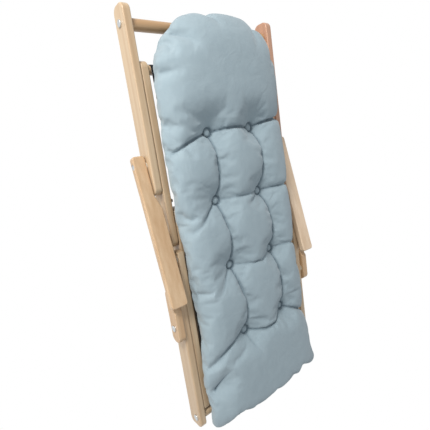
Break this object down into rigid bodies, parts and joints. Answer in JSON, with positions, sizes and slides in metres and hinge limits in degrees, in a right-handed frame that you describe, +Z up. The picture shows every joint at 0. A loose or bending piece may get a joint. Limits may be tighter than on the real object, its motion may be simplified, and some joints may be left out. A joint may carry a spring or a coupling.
{
  "type": "folding recliner",
  "caption": "Wooden relax chair folded flat and standing on end: sling seat with a tufted full-length pad, swinging armrests, posts and legs.",
  "frame": {"origin": "on the floor under the middle of the folded chair's depth, on its plane of symmetry", "axes": "+Z up the folded chair, -Y towards the cushion's front, +X to the right seen from the cushion's front"},
  "size_m": [0.591, 0.1578, 1.2],
  "materials": {
    "beech": "satin varnish",
    "cushion_cloth": "woven, matt",
    "sling_cloth": "tight weave, matt",
    "zinc_steel": "zinc plated",
    "washer_nylon": "plain"
  },
  "bodies": {
    "back_frame": {"left_outer_back_rail": "beech", "right_outer_back_rail": "beech", "left_inner_back_rail": "beech", "right_inner_back_rail": "beech", "carry_handle_rod": "beech", "sling_top_dowel": "beech", "handle_bolts": "zinc_steel", "back_rail_screws": "zinc_steel", "arm_pivot_bolts": "zinc_steel", "rear_leg_pivot_bolts": "zinc_steel", "rear_leg_stop_pegs": "beech", "rear_leg_washers": "washer_nylon", "left_arm_pivot_washer": "washer_nylon", "right_arm_pivot_washer": "washer_nylon", "sling_upper": "sling_cloth", "cushion_back": "cushion_cloth", "back_tuft_buttons": "cushion_cloth"},
    "seat_frame": {"left_seat_rail": "beech", "right_seat_rail": "beech", "seat_front_rod": "beech", "seat_front_bolts": "zinc_steel", "seat_pivot_bolts": "zinc_steel", "seat_pivot_washers": "washer_nylon", "front_leg_pivot_bolts": "zinc_steel", "front_leg_washers": "washer_nylon", "front_leg_stop_pegs": "beech", "post_pivot_bolts": "zinc_steel", "post_washers": "washer_nylon", "sling_lower": "sling_cloth", "cushion_seat": "cushion_cloth", "seat_tuft_buttons": "cushion_cloth"},
    "front_legs": {"left_front_leg": "beech", "right_front_leg": "beech", "front_foot_rod": "beech"},
    "rear_legs": {"left_rear_leg": "beech", "right_rear_leg": "beech", "rear_foot_rod": "beech"},
    "left_arm": {"left_armrest": "beech", "left_arm_bracket": "zinc_steel", "left_bracket_screws": "zinc_steel"},
    "left_post": {"left_arm_post": "beech", "left_post_pin": "zinc_steel"},
    "right_arm": {"right_armrest": "beech", "right_arm_bracket": "zinc_steel", "right_bracket_screws": "zinc_steel"},
    "right_post": {"right_arm_post": "beech", "right_post_pin": "zinc_steel"}
  },
  "joints": [
    {"name": "seat_fold", "type": "hinge", "parent": "back_frame", "child": "seat_frame", "pos_m": [0, 0.03995, 0.588], "axis": [-1, 0, 0], "range_deg": [0, 64], "deforming": ["sling_upper", "cushion_back", "sling_lower", "cushion_seat"]},
    {"name": "front_legs_swing", "type": "hinge", "parent": "seat_frame", "child": "front_legs", "pos_m": [0, 0.02095, 0.533], "axis": [1, 0, 0], "range_deg": [0, 49.3]},
    {"name": "rear_legs_swing", "type": "hinge", "parent": "back_frame", "child": "rear_legs", "pos_m": [0, 0.04995, 0.65], "axis": [1, 0, 0], "range_deg": [0, 77]},
    {"name": "left_arm_swing", "type": "hinge", "parent": "back_frame", "child": "left_arm", "pos_m": [0, 0.05195, 0.8], "axis": [-1, 0, 0], "range_deg": [0, 49.65]},
    {"name": "left_post_swing", "type": "hinge", "parent": "seat_frame", "child": "left_post", "pos_m": [0, 0.00995, 0.344], "axis": [1, 0, 0], "range_deg": [0, 99.81]},
    {"name": "right_arm_swing", "type": "hinge", "parent": "back_frame", "child": "right_arm", "pos_m": [0, 0.05195, 0.8], "axis": [-1, 0, 0], "range_deg": [0, 49.65]},
    {"name": "right_post_swing", "type": "hinge", "parent": "seat_frame", "child": "right_post", "pos_m": [0, 0.00995, 0.344], "axis": [1, 0, 0], "range_deg": [0, 99.81]}
  ],
  "couplings": [
    {"joint": "left_arm_swing", "follows": "seat_fold", "ratio": 0.768},
    {"joint": "left_post_swing", "follows": "seat_fold", "ratio": 1.5517},
    {"joint": "right_arm_swing", "follows": "seat_fold", "ratio": 0.768},
    {"joint": "right_post_swing", "follows": "seat_fold", "ratio": 1.5517}
  ]
}
